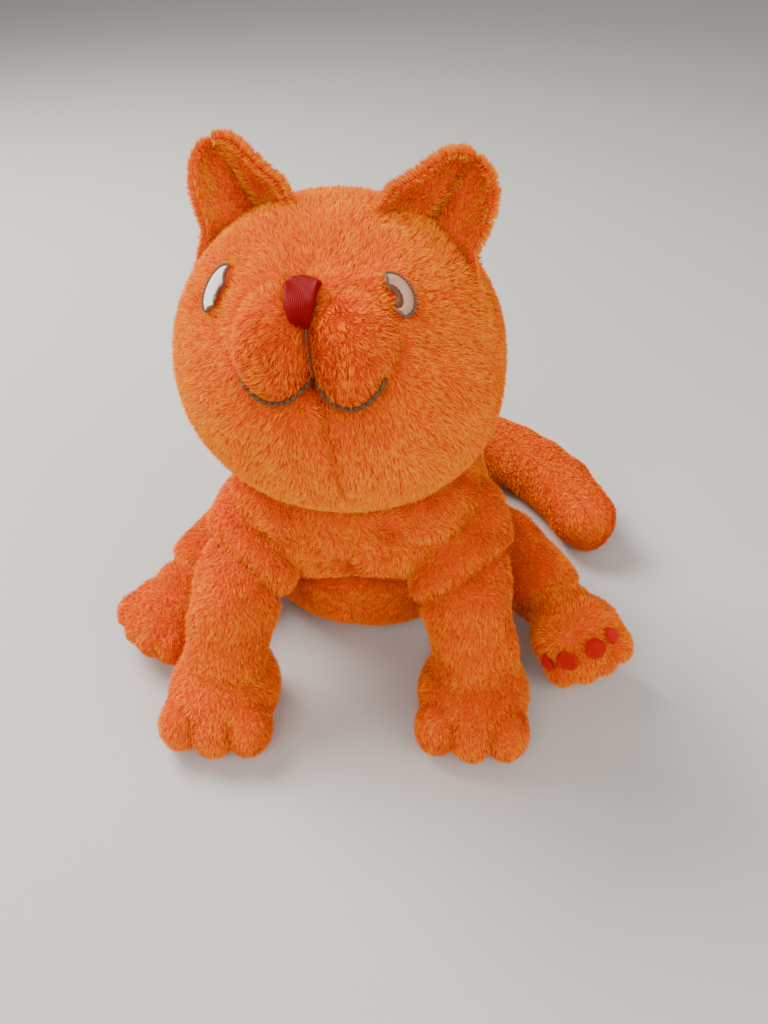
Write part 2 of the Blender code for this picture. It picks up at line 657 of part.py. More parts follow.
def main():
    clear_scene()
    head_fill, head_points = build_head()
    neck_pivot = pivot("neck_pivot", NECK_PIVOT)
    ball("neck_stuffing", NECK_PIVOT, NECK_RADIUS, "stuffing", neck_pivot)
    lobes = ((Vector((0, 0, 0)), Vector((1, 1, 1)) * (NECK_RADIUS + SWING_ROOM)),)
    neck_room = hull_cutter("neck_room", flat(blob(NECK_PIVOT, lobes, Matrix.Identity(3), floor=-1.0,
                                                   around=LIMB_ROUND, along=10)))
    cut(head_fill, [neck_room])
    turns = [Euler((math.radians(nod), 0, math.radians(turn))) for nod in HEAD_NODS for turn in HEAD_TURNS]
    head_room = hull_cutter("head_room", posed(head_points, NECK_PIVOT, turns))
    sockets = [head_room, neck_room]
    sockets += [build_front_leg(side) for side in FRONT_LEGS]
    sockets += [build_hind_leg(side) for side in HIND_LEGS]
    sockets.append(build_tail())
    build_torso(sockets)
    build_label()


main()
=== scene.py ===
"""Looks of the plush cat: sewn skins with a short combed pile, embroidered face and toe pads.

Metres, +Z up, the cat faces -Y and its own left is +X, as in the part. Every skin follows the
part's soft forms at a finer resolution, with the folds that the part leaves out, and its pile is
made of thin ribbons that move with it.
"""

import math

import bpy
import numpy as np
from mathutils import Matrix, Vector, kdtree


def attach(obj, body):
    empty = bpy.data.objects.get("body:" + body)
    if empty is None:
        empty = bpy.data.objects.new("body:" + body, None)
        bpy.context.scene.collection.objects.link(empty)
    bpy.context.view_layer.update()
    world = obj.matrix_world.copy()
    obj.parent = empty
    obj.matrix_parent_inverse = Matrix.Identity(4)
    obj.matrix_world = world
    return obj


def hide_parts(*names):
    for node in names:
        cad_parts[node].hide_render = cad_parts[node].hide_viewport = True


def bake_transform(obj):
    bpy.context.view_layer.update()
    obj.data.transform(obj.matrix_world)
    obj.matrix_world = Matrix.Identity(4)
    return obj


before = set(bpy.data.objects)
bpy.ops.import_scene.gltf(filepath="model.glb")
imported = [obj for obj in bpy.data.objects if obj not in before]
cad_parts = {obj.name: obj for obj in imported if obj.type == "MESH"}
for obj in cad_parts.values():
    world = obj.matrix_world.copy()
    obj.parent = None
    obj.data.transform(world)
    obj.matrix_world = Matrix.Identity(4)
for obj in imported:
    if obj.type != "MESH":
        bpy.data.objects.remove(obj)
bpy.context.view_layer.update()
rng = np.random.default_rng(11)

# ---- forms repeated from the part ----
HEAD_CENTRE = np.array((-0.006, -0.061, 0.166))
HEAD_TILT = math.radians(27)
HEAD_YAW = math.radians(-5)
NECK_PIVOT = np.array((-0.003, -0.052, 0.112))
HEAD_LOBES = (
    ((0, 0, 0), (0.069, 0.060, 0.063)),
    ((0.004, -0.004, -0.018), (0.061, 0.056, 0.048)),
    ((0.0230, -0.038, 0.004), (0.0200, 0.034, 0.0260)),
    ((-0.0100, -0.038, 0.004), (0.0200, 0.034, 0.0260)),
    ((0.0065, -0.038, 0.010), (0.0130, 0.032, 0.0180)),
)
# Sections of the torso: height, middle of the depth, half width, half depth.
TORSO_SECTIONS = np.array((
    (0.000, 0.000, 0.050, 0.050), (0.006, 0.001, 0.059, 0.061), (0.020, 0.000, 0.065, 0.069),
    (0.040, -0.004, 0.067, 0.070), (0.060, -0.014, 0.065, 0.070), (0.080, -0.026, 0.062, 0.066),
    (0.098, -0.037, 0.058, 0.058), (0.114, -0.046, 0.050, 0.048), (0.126, -0.051, 0.038, 0.036),
))
FRONT_LEG_RADII = (0.0225, 0.0230, 0.0235)
FRONT_LEGS = {"left": ((0.047, -0.066, 0.082), (0.061, -0.112, 0.036)),
              "right": ((-0.042, -0.070, 0.081), (-0.057, -0.122, 0.036))}
HIND_LEG_RADII = (0.0250, 0.0235, 0.0190)
HIND_LEGS = {"left": ((0.044, -0.012, 0.0335), (0.099, -0.062, 0.031), (0.111, -0.085, 0.0265)),
             "right": ((-0.044, -0.012, 0.0335), (-0.087, -0.062, 0.030), (-0.096, -0.086, 0.0206))}
HIND_TOES = {"left": (0.50, -0.28, -0.66), "right": (-0.55, -0.80, -0.12)}
HIND_SOLE = {"left": (0.20, -0.92, -0.05), "right": (-0.35, -0.20, -1.0)}
PAW_RADII = (0.0275, 0.0300, 0.0210)
PAW_DROP = np.array((0.0, -0.005, -0.0185))
TAIL_PATH = ((0.006, 0.060, 0.030), (0.040, 0.082, 0.026), (0.078, 0.074, 0.0225),
             (0.108, 0.046, 0.0215), (0.124, 0.012, 0.0210))
TAIL_RADII = (0.0195, 0.0205, 0.0215, 0.0215, 0.0200)
EARS = {"left": ((0.0395, -0.021, 0.0400), 30, 16), "right": ((-0.0385, -0.021, 0.0400), -29, -14)}
EAR_HEIGHT = 0.028
EAR_HALF_WIDTH = 0.0245
EAR_BOW = (58, 34)
EAR_LIFT = 0.0030

# ---- forms that the part leaves plain ----
RIDGE_BACK = 0.009           # the seam on top of the head lies this far behind its middle
CHEST_EDGE = 0.0615          # height of the fold under the chest
# Planes of the folds where the chest's cloth ends on the front legs: normal and offset.
LEG_FOLDS = {"left": ((-0.568, 0.552, 0.609), -0.0365), "right": ((0.555, 0.676, 0.482), -0.0560)}
FOOT_TWIST = {"left": 1, "right": 0}     # the foot turns by these degrees in its sole's plane
# Toe pads, on a plane PAD_PLANE under the foot's middle: (across, to the toes) and half sizes.
PADS = ((-0.0207, 0.0010), (-0.0072, 0.0022), (0.0072, 0.0022), (0.0207, 0.0010))
PAD_SIZE = (0.0048, 0.0058)
EAR_TIP_SHIFT = 0.0035       # how far the ears' tips and their whole width move in
EAR_SET_IN = 0.0048
PAD_PLANE = 0.0150

# ---- looks ----
PILE_INSET = 0.0028          # the skin lies this far under the part's outer surface
STRANDS_PER_MM2 = 2.6
STRAND_WIDTH = 0.00030
PIECE_STRANDS = 64000        # most strands in one mesh
CLUMP_SHARE = 0.045          # clump centres for each strand

# Linear colours of the pile from its roots to its palest tips; the darker colours at the roots are painted
# shade deep in the pile.
PILE_DARK = np.array((0.64, 0.050, 0.000))
PILE_MID = np.array((1.00, 0.175, 0.000))
PILE_LIGHT = np.array((1.00, 0.40, 0.000))
# Lighter copies of the pile colours for the ear linings: painted light against the shade the linings sit in.
LIT_LINING_DARK = np.array((0.80, 0.050, 0.000))
LIT_LINING_MID = np.array((1.00, 0.185, 0.000))
LIT_LINING_LIGHT = np.array((1.00, 0.46, 0.00))
SHADES = 10
MID_SHADE = 0.55             # place of the middle colour among the shades, from 0 to 1
SPECULAR = 0.12
NEAR_FLOOR = 0.0002          # nothing soft goes lower than this
BARE_FLOOR = 0.0012          # no pile is rooted below this, where the toy stands on it
BURIED = 0.0012              # roots this far under a neighbour's skin are left out


# ---- materials ----
def plain(name, colour, roughness=0.8):
    made = bpy.data.materials.new(name)
    made.use_nodes = True
    shader = made.node_tree.nodes["Principled BSDF"]
    shader.inputs["Base Color"].default_value = (*[float(c) for c in colour], 1.0)
    shader.inputs["Roughness"].default_value = roughness
    shader.inputs["Specular IOR Level"].default_value = SPECULAR
    return made


def shade_set(name, dark, mid, light):
    """Materials of one pile, darkest first."""
    made = []
    for step in range(SHADES):
        share = step / (SHADES - 1)
        if share < MID_SHADE:
            colour = dark + (mid - dark) * share / MID_SHADE
        else:
            colour = mid + (light - mid) * (share - MID_SHADE) / (1 - MID_SHADE)
        made.append(plain(f"{name}_{step}", colour, 0.9))
    return made


PLUSH = shade_set("pile", PILE_DARK, PILE_MID, PILE_LIGHT)
# The ear linings' lighter pile: painted light.
LIT_LINING = shade_set("pile_lit_lining", LIT_LINING_DARK, LIT_LINING_MID, LIT_LINING_LIGHT)
SKIN = plain("backing", (0.74, 0.075, 0.000), 0.95)
# The ear linings' backing is lighter too: painted light.
LIT_LINING_BACKING = plain("backing_lit_lining", (0.85, 0.095, 0.000), 0.95)


# ---- numbers ----
def unit(vectors):
    return vectors / np.maximum(np.linalg.norm(vectors, axis=-1, keepdims=True), 1e-12)


def smooth(low, high, value):
    t = np.clip((value - low) / (high - low), 0, 1)
    return t * t * (3 - 2 * t)


def wave(points, size, seed):
    """Smooth noise from -1 to 1 with bumps of about that size."""
    dice = np.random.default_rng(seed)
    total = np.zeros(points.shape[:-1])
    for _ in range(7):
        total += np.sin(points @ (unit(dice.normal(size=3)) * dice.uniform(0.6, 1.5) * math.tau / size)
                        + dice.uniform(0, math.tau))
    return total / 3.2


def rotation(axis, angle):
    return np.array(Matrix.Rotation(angle, 3, axis))


HEAD_FRAME = rotation("Z", HEAD_YAW) @ rotation("X", -HEAD_TILT)


def reach(directions, lobes, power=11.0):
    """How far a soft union of ellipsoids reaches from its centre along each direction."""
    total = np.zeros(directions.shape[:-1])
    for offset, radii in lobes:
        scaled = directions / np.array(radii)
        shift = np.array(offset) / np.array(radii)
        square = (scaled ** 2).sum(-1)
        half = scaled @ shift
        space = half ** 2 - square * (shift @ shift - 1.0)
        far = (half + np.sqrt(np.maximum(space, 0))) / square
        total += np.where(space > 0, np.maximum(far, 0), 0) ** power
    return total ** (1.0 / power)


def blob_grid(centre, lobes, axes, aim=(0, 0, -1), opening=0.0, inset=PILE_INSET, floor=0.0,
              rows=90, columns=140, power=11.0, shape=None):
    """Grid of points round a soft union, from the rim of its opening to the far pole."""
    to_aim = np.array(Vector((0, 0, -1)).rotation_difference(Vector(aim)).to_matrix())
    start = math.radians(opening)
    polar = start + (math.pi - start) * np.linspace(0, 1, rows)[:, None]
    turn = math.tau * np.arange(columns)[None, :] / columns
    local = np.stack((np.sin(polar) * np.cos(turn), np.sin(polar) * np.sin(turn),
                      -np.cos(polar) + 0 * turn), -1) @ to_aim.T
    far = reach(local, lobes, power) - inset
    if shape:
        far = far + shape(local, far)
    points = np.array(centre) + (local * far[..., None]) @ axes.T
    points[..., 2] = np.maximum(points[..., 2], floor + NEAR_FLOOR)
    return points


def smooth_path(points, radii, steps):
    """Points and radii along a Catmull-Rom curve through the given ones."""
    points = np.array(points, float)
    path, size = [], []
    last = len(points) - 1
    for i in range(last):
        a, b, c, d = points[max(i - 1, 0)], points[i], points[i + 1], points[min(i + 2, last)]
        for step in range(steps):
            u = step / steps
            path.append(0.5 * (2 * b + (c - a) * u + (2 * a - 5 * b + 4 * c - d) * u ** 2
                               + (3 * b - a - 3 * c + d) * u ** 3))
            size.append(radii[i] + (radii[i + 1] - radii[i]) * u)
    return np.array(path + [points[last]]), np.array(size + [radii[last]])


def tube_grid(points, radii, inset=PILE_INSET, steps=24, domes=14, end=1.0, columns=90, shape=None):
    """Grid along a limb with a round root and a round end, which is end times its radius long."""
    path, size = smooth_path(points, radii, steps)
    tangents = unit(np.gradient(path, axis=0))
    up = np.array((0, 0, 1.0)) if abs(tangents[0][2]) < 0.7 else np.array((0, 1.0, 0))
    places, ways, widths = [], [], []
    for step in range(domes):
        angle = math.radians(40) + math.radians(50) * step / domes
        places.append(path[0] - tangents[0] * (size[0] - inset) * math.cos(angle))
        ways.append(tangents[0])
        widths.append((size[0] - inset) * math.sin(angle))
    for place, way, radius in zip(path, tangents, size):
        places.append(place)
        ways.append(way)
        widths.append(radius - inset)
    for step in range(1, domes + 1):
        angle = math.pi / 2 * step / domes
        places.append(path[-1] + tangents[-1] * (size[-1] - inset) * end * math.sin(angle))
        ways.append(tangents[-1])
        widths.append(max((size[-1] - inset) * math.cos(angle), 1e-5))
    places, ways, widths = np.array(places), np.array(ways), np.array(widths)
    side = unit(np.cross(ways, up))
    over = np.cross(side, ways)
    turn = math.tau * np.arange(columns) / columns
    out = side[:, None] * np.cos(turn)[None, :, None] + over[:, None] * np.sin(turn)[None, :, None]
    far = np.repeat(widths[:, None], columns, 1)
    if shape:
        far = far + shape(places, turn, out) * smooth(0, 0.3, far / (size.mean()))
    grid = places[:, None] + out * far[..., None]
    grid[..., 2] = np.maximum(grid[..., 2], NEAR_FLOOR)
    return grid


def grid_normals(grid, wrap=True):
    if wrap:
        wide = np.concatenate((grid[:, -1:], grid, grid[:, :1]), 1)
        across = (wide[:, 2:] - wide[:, :-2])
    else:
        across = np.gradient(grid, axis=1)
    along = np.gradient(grid, axis=0)
    return unit(np.cross(across, along))


def outward(grid, normals):
    """Turns the normals away from the inside of the form."""
    middle = grid.mean(axis=1, keepdims=True)
    return normals if ((grid - middle) * normals).sum() > 0 else -normals


# ---- meshes ----
def new_mesh(name, points, faces, materials, indices=None):
    mesh = bpy.data.meshes.new(name)
    points = np.asarray(points, np.float32)
    counts = np.array([len(f) for f in faces]) if isinstance(faces, list) else None
    if counts is None:
        counts = np.full(len(faces), faces.shape[1])
        flat = faces.ravel()
    else:
        flat = np.concatenate([np.asarray(f) for f in faces])
    mesh.vertices.add(len(points))
    mesh.vertices.foreach_set("co", points.ravel())
    mesh.loops.add(len(flat))
    mesh.loops.foreach_set("vertex_index", flat.astype(np.int32))
    mesh.polygons.add(len(counts))
    mesh.polygons.foreach_set("loop_start", np.concatenate(([0], np.cumsum(counts)[:-1])).astype(np.int32))
    if indices is not None:
        mesh.polygons.foreach_set("material_index", np.asarray(indices, np.int32))
    mesh.update(calc_edges=True)
    for made in materials:
        mesh.materials.append(made)
    obj = bpy.data.objects.new(name, mesh)
    bpy.context.scene.collection.objects.link(obj)
    return obj


def grid_faces(rows, columns, wrap=True):
    row, column = np.meshgrid(np.arange(rows - 1), np.arange(columns if wrap else columns - 1), indexing="ij")
    after = (column + 1) % columns
    return np.stack((row * columns + column, row * columns + after,
                     (row + 1) * columns + after, (row + 1) * columns + column), -1).reshape(-1, 4)


def skin(name, grid, place, made=None, wrap=True):
    rows, columns = grid.shape[:2]
    obj = new_mesh(name, grid.reshape(-1, 3), grid_faces(rows, columns, wrap), [made or SKIN])
    obj.data.shade_smooth()
    place(obj)
    return obj


def scatter(grid, normals, density, wrap=True, lowest=None):
    """Random points on the grid with their normals, evenly by area, above the lowest height."""
    if wrap:
        grid = np.concatenate((grid, grid[:, :1]), 1)
        normals = np.concatenate((normals, normals[:, :1]), 1)
    a, b, c, d = grid[:-1, :-1], grid[:-1, 1:], grid[1:, 1:], grid[1:, :-1]
    area = 0.5 * np.linalg.norm(np.cross(c - a, d - b), axis=-1) * 1e6
    wanted = int(area.sum() * density)
    chance = area.ravel() / area.sum()
    pick = rng.choice(len(chance), wanted, p=chance)
    row, column = np.divmod(pick, area.shape[1])
    s, t = rng.random(wanted)[:, None], rng.random(wanted)[:, None]

    def mix(values):
        return ((values[row, column] * (1 - s) + values[row, column + 1] * s) * (1 - t)
                + (values[row + 1, column] * (1 - s) + values[row + 1, column + 1] * s) * t)

    points, facing = mix(grid), unit(mix(normals))
    if lowest is not None:
        keep = points[:, 2] > lowest
        points, facing = points[keep], facing[keep]
    return points, facing


def pile(name, points, normals, comb, length, shade, place, shades=None, lean=(25, 62),
         clump=0.45, stray=0.03, swirl=0.5, width=1.0, contrast=1.0):
    """Ribbon strands rooted at the points, leaning along comb, drawn together in tufts."""
    count = len(points)
    if not count:
        return
    length = np.broadcast_to(length, count) * rng.uniform(0.75, 1.2, count)
    comb = comb - (comb * normals).sum(-1, keepdims=True) * normals
    comb = unit(comb)
    side = np.cross(normals, comb)
    angle = (swirl * wave(points, 0.022, 5) + 0.30 * rng.normal(size=count))[:, None]
    comb = comb * np.cos(angle) + side * np.sin(angle)
    straying = (rng.random(count) < stray)[:, None]
    low, high = math.radians(lean[0]), math.radians(lean[1])
    first = np.where(straying, low * 0.5, low + 0.18 * rng.normal(size=(count, 1)))
    second = np.where(straying, low, high + 0.18 * rng.normal(size=(count, 1)))
    middle = points + (normals * np.cos(first) + comb * np.sin(first)) * (length * 0.5)[:, None]
    tip = middle + (normals * np.cos(second) + comb * np.sin(second)) * (length * 0.55)[:, None]
    tip += rng.normal(size=tip.shape) * 0.00022

    clumps = max(int(count * CLUMP_SHARE * (2.6 / STRANDS_PER_MM2) * 0.9), 1)
    centres = rng.choice(count, clumps, replace=False)
    tree = kdtree.KDTree(len(centres))
    for index, centre in enumerate(centres):
        tree.insert(points[centre], index)
    tree.balance()
    near = centres[np.array([tree.find(point)[1] for point in points])]
    close = np.exp(-(np.linalg.norm(points - points[near], axis=1) / 0.0028) ** 2)
    pull = (clump * close * rng.uniform(0.5, 1.3, count))[:, None] * ~straying
    tip += (tip[near] - tip) * pull
    middle += (middle[near] - middle) * pull * 0.35
    tip[:, 2] = np.maximum(tip[:, 2], NEAR_FLOOR)
    middle[:, 2] = np.maximum(middle[:, 2], NEAR_FLOOR)

    along = unit(tip - points)
    flat = unit(np.cross(along, normals) + 0.45 * rng.normal(size=along.shape))
    wide = (STRAND_WIDTH * 0.5 * width * rng.uniform(0.7, 1.3, count))[:, None]
    corners = np.stack((points - flat * wide, points + flat * wide, middle + flat * wide * 0.9,
                        middle - flat * wide * 0.9, tip), 1)
    tuft = rng.normal(size=count)[near] * 0.06 * contrast
    # Stray strands are a little lighter: painted light on the loose fuzz.
    shade = np.broadcast_to(shade, count) + tuft + 0.07 * rng.normal(size=count) + 0.06 * straying[:, 0] \
        + 0.05 * wave(points, 0.016, 9)
    # Roots take darker shades than tips: painted shade deep in the pile.
    roots = np.clip(np.round((shade - 0.24 * contrast) * (SHADES - 1)), 0, SHADES - 1)
    tips = np.clip(np.round((shade + 0.06 * contrast) * (SHADES - 1)), 0, SHADES - 1)
    shades = shades or PLUSH
    pieces = max(1, math.ceil(count / PIECE_STRANDS))
    # Sorting by height keeps each mesh a compact patch.
    order = np.argsort(points[:, 2], kind="stable")
    for number, part in enumerate(np.array_split(order, pieces), 1):
        start = np.arange(len(part))[:, None] * 5
        quads = start + np.array((0, 1, 2, 3))
        tris = start + np.array((3, 2, 4))
        flat_index = np.concatenate((quads, tris), 1).ravel()
        mesh = bpy.data.meshes.new(f"{name}_pile_{number}")
        mesh.vertices.add(len(part) * 5)
        mesh.vertices.foreach_set("co", corners[part].astype(np.float32).ravel())
        mesh.loops.add(len(flat_index))
        mesh.loops.foreach_set("vertex_index", flat_index.astype(np.int32))
        mesh.polygons.add(len(part) * 2)
        starts = np.arange(len(part))[:, None] * 7 + np.array((0, 4))
        mesh.polygons.foreach_set("loop_start", starts.astype(np.int32).ravel())
        index = np.stack((roots[part], tips[part]), 1).astype(np.int32)
        mesh.polygons.foreach_set("material_index", index.ravel())
        mesh.update(calc_edges=True)
        for made in shades:
            mesh.materials.append(made)
        obj = bpy.data.objects.new(mesh.name, mesh)
        bpy.context.scene.collection.objects.link(obj)
        place(obj)


def riding(body):
    return lambda obj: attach(obj, body)


def blending():
    return lambda obj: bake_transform(obj)


# ---- head ----
def to_face(local):
    """(across, up) on the face for points or directions in the head's own axes."""
    ahead = np.minimum(local[..., 1], -1e-4)
    return local[..., 0] * -0.055 / ahead, local[..., 2] * -0.055 / ahead


def near_line(a, b, line):
    """Distance on the face from (a, b) to a polyline."""
    best = np.full(np.shape(a), 9.0)
    for (x0, z0), (x1, z1) in zip(line, line[1:]):
        dx, dz = x1 - x0, z1 - z0
        t = np.clip(((a - x0) * dx + (b - z0) * dz) / (dx * dx + dz * dz), 0, 1)
        best = np.minimum(best, np.hypot(a - x0 - t * dx, b - z0 - t * dz))
    return best


def through(corner, lowest, end, count=28):
    """Points of a smooth line from the corner past the lowest point to the end."""
    u = np.linspace(0, 1, count)[:, None]
    return ((1 - u) * (1 - 2 * u) * np.array(corner) + 4 * u * (1 - u) * np.array(lowest)
            + u * (2 * u - 1) * np.array(end))


# Lines on the face, as (across, up) on a plane 55 mm before the head's middle.
MOUTH = {"left": through((0.0258, -0.0052), (0.0165, -0.0162), (0.0048, -0.0084)),
         "right": through((-0.0180, -0.0085), (-0.0068, -0.0164), (0.0042, -0.0086))}
SEAM = [(0.0030, 0.0060), (0.0045, -0.0080)]
CHIN_SEAM = [(0.0047, -0.0090), (0.0077, -0.0206), (0.0139, -0.0437), (0.0220, -0.0800)]
DARTS = ([(-0.0180, -0.0085), (-0.0300, 0.0010)], [(0.0258, -0.0052), (0.0310, 0.0040)])
NOSE = [(-0.0050, 0.0195), (-0.0038, 0.0216), (-0.0002, 0.0223), (0.0036, 0.0212), (0.0048, 0.0199),
        (0.0040, 0.0149), (0.0037, 0.0108), (0.0032, 0.0074), (0.0022, 0.0064), (0.0010, 0.0075),
        (-0.0010, 0.0117), (-0.0032, 0.0159)]
EYES = {  # middle, outer radii, middle and radii of the hollow, and the arc's two ends
    "left": {"at": (0.0296, 0.0206), "size": (0.0067, 0.0077), "pupil": (0.0276, 0.0184),
             "pupil_size": (0.0033, 0.0042), "arc": (-84, 122)},
    "right": {"at": (-0.0430, 0.0222), "size": (0.0084, 0.0105), "pupil": (-0.0385, 0.0184),
              "pupil_size": (0.0030, 0.0048), "arc": (262, 58)},
}


def face_relief(local, far):
    """Creases and dips pressed in the head's form."""
    a, b = to_face(local)
    front = smooth(0.1, 0.4, -local[..., 1])
    dip = 0.0036 * np.exp(-(near_line(a, b, SEAM) / 0.0026) ** 2)
    dip += 0.0030 * np.exp(-(near_line(a, b, CHIN_SEAM) / 0.0018) ** 2)
    for line in MOUTH.values():
        dip += 0.0022 * np.exp(-(near_line(a, b, line) / 0.0026) ** 2)
    for line in DARTS:
        dip += 0.0016 * np.exp(-(near_line(a, b, line) / 0.0022) ** 2)
    for eye in EYES.values():
        x, z = eye["at"]
        dip += 0.0012 * np.exp(-(((a - x) / 0.009) ** 2 + ((b - z) / 0.010) ** 2))
    lobe = np.minimum(np.hypot((a + 0.0068) / 0.0118, (b + 0.0005) / 0.0165),
                      np.hypot((a - 0.0158) / 0.0118, (b + 0.0005) / 0.0165))
    puff = 0.0034 * smooth(1.12, 0.55, lobe) - 0.0020 * np.exp(-((lobe - 1.22) / 0.15) ** 2)
    chin = -0.0012 * np.exp(-((b + 0.024) / 0.007) ** 2) * smooth(0.030, 0.018, np.abs(a - 0.004))
    return 0.0006 * wave(local * 0.06, 0.035, 3) + (puff + chin - dip) * front


def on_face(across, up, lift):
    """Point on the head's pressed surface in front of (across, up), raised by lift, and its way out."""
    local = unit(np.stack((np.asarray(across, float), np.full(np.shape(across), -0.055),
                           np.asarray(up, float)), -1))
    far = reach(local, HEAD_LOBES)
    far = far + face_relief(local, far) + lift
    return HEAD_CENTRE + (local * far[..., None]) @ HEAD_FRAME.T


def in_head_axes(points):
    return (points - HEAD_CENTRE) @ HEAD_FRAME


def arc(centre, radii, ends, count):
    turn = np.radians(np.linspace(*ends, count))
    return np.stack((centre[0] + radii[0] * np.cos(turn), centre[1] + radii[1] * np.sin(turn)), -1)


def eye_outline(eye, grow=0.0):
    """Closed outline of an eye's embroidery."""
    outer = arc(eye["at"], [size + 0.0011 + grow for size in eye["size"]], eye["arc"], 24)
    inner = arc(eye["pupil"], [max(size * 0.45 - grow, 0.0002) for size in eye["pupil_size"]], eye["arc"], 24)
    return np.concatenate((outer, inner[::-1]))


def in_outline(a, b, outline):
    inside = np.zeros(np.shape(a), bool)
    for (x0, z0), (x1, z1) in zip(outline, np.roll(outline, -1, axis=0)):
        crosses = (z0 > b) != (z1 > b)
        inside ^= crosses & (a < (x1 - x0) * (b - z0) / (z1 - z0 + 1e-12) + x0)
    return inside


def build_head():
    place = riding("head")
    neck = unit(HEAD_FRAME.T @ (NECK_PIVOT - HEAD_CENTRE))
    grid = blob_grid(HEAD_CENTRE, HEAD_LOBES, HEAD_FRAME, neck, opening=24, floor=-1, rows=220,
                     columns=320, shape=face_relief)
    normals = outward(grid, grid_normals(grid))
    obj = skin("head_skin", grid, place)
    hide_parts("head_cover", "head_stuffing", "neck_stuffing")
    points, facing = scatter(grid, normals, STRANDS_PER_MM2)
    local = in_head_axes(points)
    a, b = to_face(local)
    front = local[:, 1] < -0.015
    bare = in_outline(a, b, NOSE)
    for eye in EYES.values():
        bare |= in_outline(a, b, eye_outline(eye))
    keep = ~(front & bare)
    points, facing, local, a, b = points[keep], facing[keep], local[keep], a[keep], b[keep]
    front = local[:, 1] < -0.015
    muzzle = np.where(front, np.exp(-(((a - 0.004) / 0.020) ** 2 + (b / 0.015) ** 2) ** 2), 0)
    out = np.stack((a - 0.003, 0 * a, b - 0.012), -1)
    away = np.stack((np.sign(a - 0.004) * 0.02, 0 * a, -0.012 + 0 * a), -1)
    comb = np.where(front[:, None], out + away * muzzle[:, None] * 1.5, np.stack(
        (local[:, 0] * 0.6, 0.04 + 0 * a, -0.03 + 0.4 * local[:, 2]), -1))
    comb = comb @ HEAD_FRAME.T
    near_mouth = np.minimum(near_line(a, b, MOUTH["left"]), near_line(a, b, MOUTH["right"]))
    length = 0.0031 + 0.0004 * muzzle
    length = np.where(front & (near_mouth < 0.0022), length * (0.45 + 0.55 * near_mouth / 0.0022), length)
    seam = np.where(front, np.exp(-(near_line(a, b, SEAM) / 0.0030) ** 2), 0)
    chin = np.where(front, smooth(-0.022, -0.040, b), 0)
    chin_seam_shade = np.where(front, np.exp(-(near_line(a, b, CHIN_SEAM) / 0.0022) ** 2), 0)
    mouth_crease_shade = np.where(front & (b < -0.004), np.exp(-(near_mouth / 0.0030) ** 2), 0)
    cheek_rim_light = np.where(front, smooth(0.030, 0.052, np.hypot(a - 0.003, b + 0.002)), 0)
    # Painted shade darkens the muzzle, the nose seam, the chin seam and the creases by the mouth; painted
    # light brightens the lower chin and the cheeks towards the face's rim.
    shade = 0.61 - 0.12 * muzzle - 0.26 * seam + 0.06 * chin + 0.09 * cheek_rim_light - 0.18 * chin_seam_shade - 0.16 * mouth_crease_shade
    tufted = muzzle > rng.uniform(0.2, 0.8, len(muzzle))
    for name, part, clump, spread in (("head", ~tufted, 0.45, 1.0), ("muzzle", tufted, 0.75, 1.3)):
        pile(name, points[part], facing[part], comb[part], length[part] * (1.0 if name == "head" else 1.15),
             shade[part], place, clump=clump, contrast=spread)
    # A ragged ridge of longer pile along the seam between the ears.
    seam_way = local[:, 1] - RIDGE_BACK - 0.002 * wave(points, 0.02, 61)
    ridge = (np.abs(seam_way) < 0.0026) & (local[:, 2] > 0.040) & (np.abs(local[:, 0]) < 0.032)
    pile("head_ridge", points[ridge], facing[ridge], comb[ridge], 0.0056, 0.64, place, lean=(0, 28),
         clump=0.8, stray=0.2, width=1.2)


# ---- embroidery ----
def stitches(name, starts, ends, out, radius, made, place, sides=6, arch=0.5, steps=5, middle=None):
    """Satin or back stitches: short threads that arch off the cloth between their ends."""
    starts, ends, out = (np.asarray(v, float) for v in (starts, ends, out))
    count = len(starts)
    span = np.linalg.norm(ends - starts, axis=1)
    way = unit(ends - starts)
    side = unit(np.cross(way, out))
    over = np.cross(side, way)
    share = np.linspace(0, 1, steps)
    rise = np.minimum(span * 0.20, radius * 2.2) * arch * 2
    if middle is None:
        middle = starts[:, None] + (ends - starts)[:, None] * share[None, :, None]
    middle = middle + out[:, None] * (np.sin(math.pi * share)[None, :] ** 0.6 * rise[:, None])[..., None]
    thick = radius * (0.55 + 0.45 * np.sin(math.pi * share) ** 0.5)
    turn = math.tau * np.arange(sides) / sides
    ring = (side[:, None, None] * np.cos(turn)[None, None, :, None]
            + over[:, None, None] * np.sin(turn)[None, None, :, None]) * thick[None, :, None, None]
    points = middle[:, :, None] + ring
    one = grid_faces(steps, sides)
    caps = [list(range(sides))[::-1], list(range((steps - 1) * sides, steps * sides))]
    faces = []
    for number in range(count):
        base = number * steps * sides
        faces.extend((one + base).tolist())
        faces.extend([[base + k for k in cap] for cap in caps])
    obj = new_mesh(name, points.reshape(-1, 3), faces, [made])
    obj.data.shade_smooth()
    place(obj)
    return obj


RED_THREAD = plain("nose_thread", (0.24, 0.000, 0.001), 0.60)
PAD_THREAD = plain("pad_thread", (0.60, 0.004, 0.004), 0.42)
WHITE_THREAD = plain("eye_thread", (0.86, 0.83, 0.79), 0.38)
# A darker copy of the eye's white thread for the cat's left eye: painted shade.
SHADED_EYE_THREAD = plain("eye_thread_painted_shade", (0.54, 0.31, 0.21), 0.42)
GREY_THREAD = plain("outline_thread", (0.19, 0.10, 0.055), 0.50)
PUPIL_THREAD = plain("pupil_thread", (0.17, 0.065, 0.035), 0.50)
MOUTH_THREAD = plain("mouth_thread", (0.13, 0.070, 0.036), 0.55)


